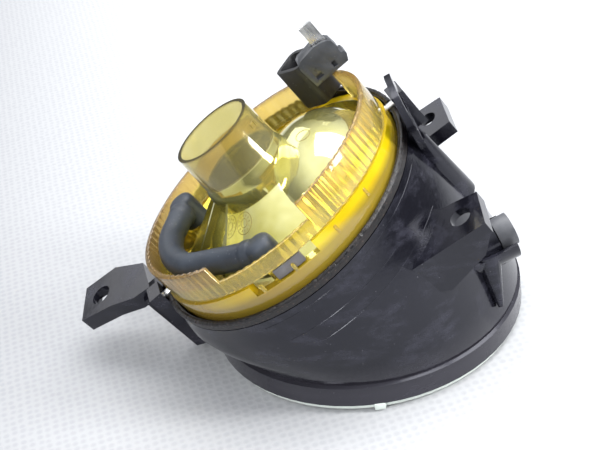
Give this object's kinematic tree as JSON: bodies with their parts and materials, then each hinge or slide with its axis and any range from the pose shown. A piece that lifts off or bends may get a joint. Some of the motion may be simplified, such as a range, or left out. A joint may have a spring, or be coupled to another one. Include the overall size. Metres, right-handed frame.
{
  "type": "fog light",
  "caption": "Round fog light: clear lens, raked black housing with bracket ears, amber reflector body with open bulb neck, vent hose, connector and aim adjuster.",
  "frame": {"origin": "centre of the lens front face", "axes": "+Z to the rear of the lamp away from the lens, +X across the vehicle towards the deep side of the housing, +Y the vertical of the vehicle; the lamp stands on its lens"},
  "size_m": [0.129, 0.0918, 0.0865],
  "materials": {
    "clear_glass": "polished, clear, slightly green at the edge",
    "seal_rubber": "matte",
    "black_plastic": "glossy moulded black",
    "bead_black": "rough bonding bead",
    "amber_reflector": "amber plastic with the bright inner coating showing through",
    "amber_collar": "clear amber plastic",
    "hose_rubber": "satin blue-grey rubber",
    "socket_plastic": "satin black",
    "cap_plastic": "satin grey",
    "tinned_metal": "tinned",
    "bright_metal": "bright",
    "clip_plastic": "satin grey",
    "knob_plastic": "satin grey"
  },
  "bodies": {
    "housing_body": {"housing": "black_plastic", "lens": "clear_glass", "lens_seal": "seal_rubber", "rim_bead": "bead_black", "adjuster_seal": "seal_rubber"},
    "reflector_body": {"reflector": "amber_reflector", "rear_collar": "amber_collar", "vent_hose": "hose_rubber", "vent_nipple_left": "amber_collar", "vent_nipple_right": "amber_collar", "connector_socket": "socket_plastic", "connector_cap": "cap_plastic", "connector_pin_1": "tinned_metal", "connector_pin_2": "tinned_metal", "spade_terminal": "tinned_metal", "glare_shield": "bright_metal", "aim_clip": "clip_plastic", "aim_arm": "knob_plastic", "pivot_pin_left": "tinned_metal", "pivot_pin_right": "tinned_metal"},
    "adjuster_body": {"adjuster_knob": "knob_plastic", "adjuster_crank": "knob_plastic"}
  },
  "joints": [
    {"name": "aim_tilt", "type": "hinge", "parent": "housing_body", "child": "reflector_body", "pos_m": [-0.0202, 0, 0.0455], "axis": [0.878, 0, 0.4787], "range_deg": [-3, 3]},
    {"name": "adjuster_turn", "type": "hinge", "parent": "housing_body", "child": "adjuster_body", "pos_m": [0.0385, -0.024, 0.0315], "axis": [0.9682, 0, 0.2501], "range_deg": [-44, 44]}
  ],
  "couplings": [
    {"joint": "adjuster_turn", "follows": "aim_tilt", "ratio": -14}
  ]
}
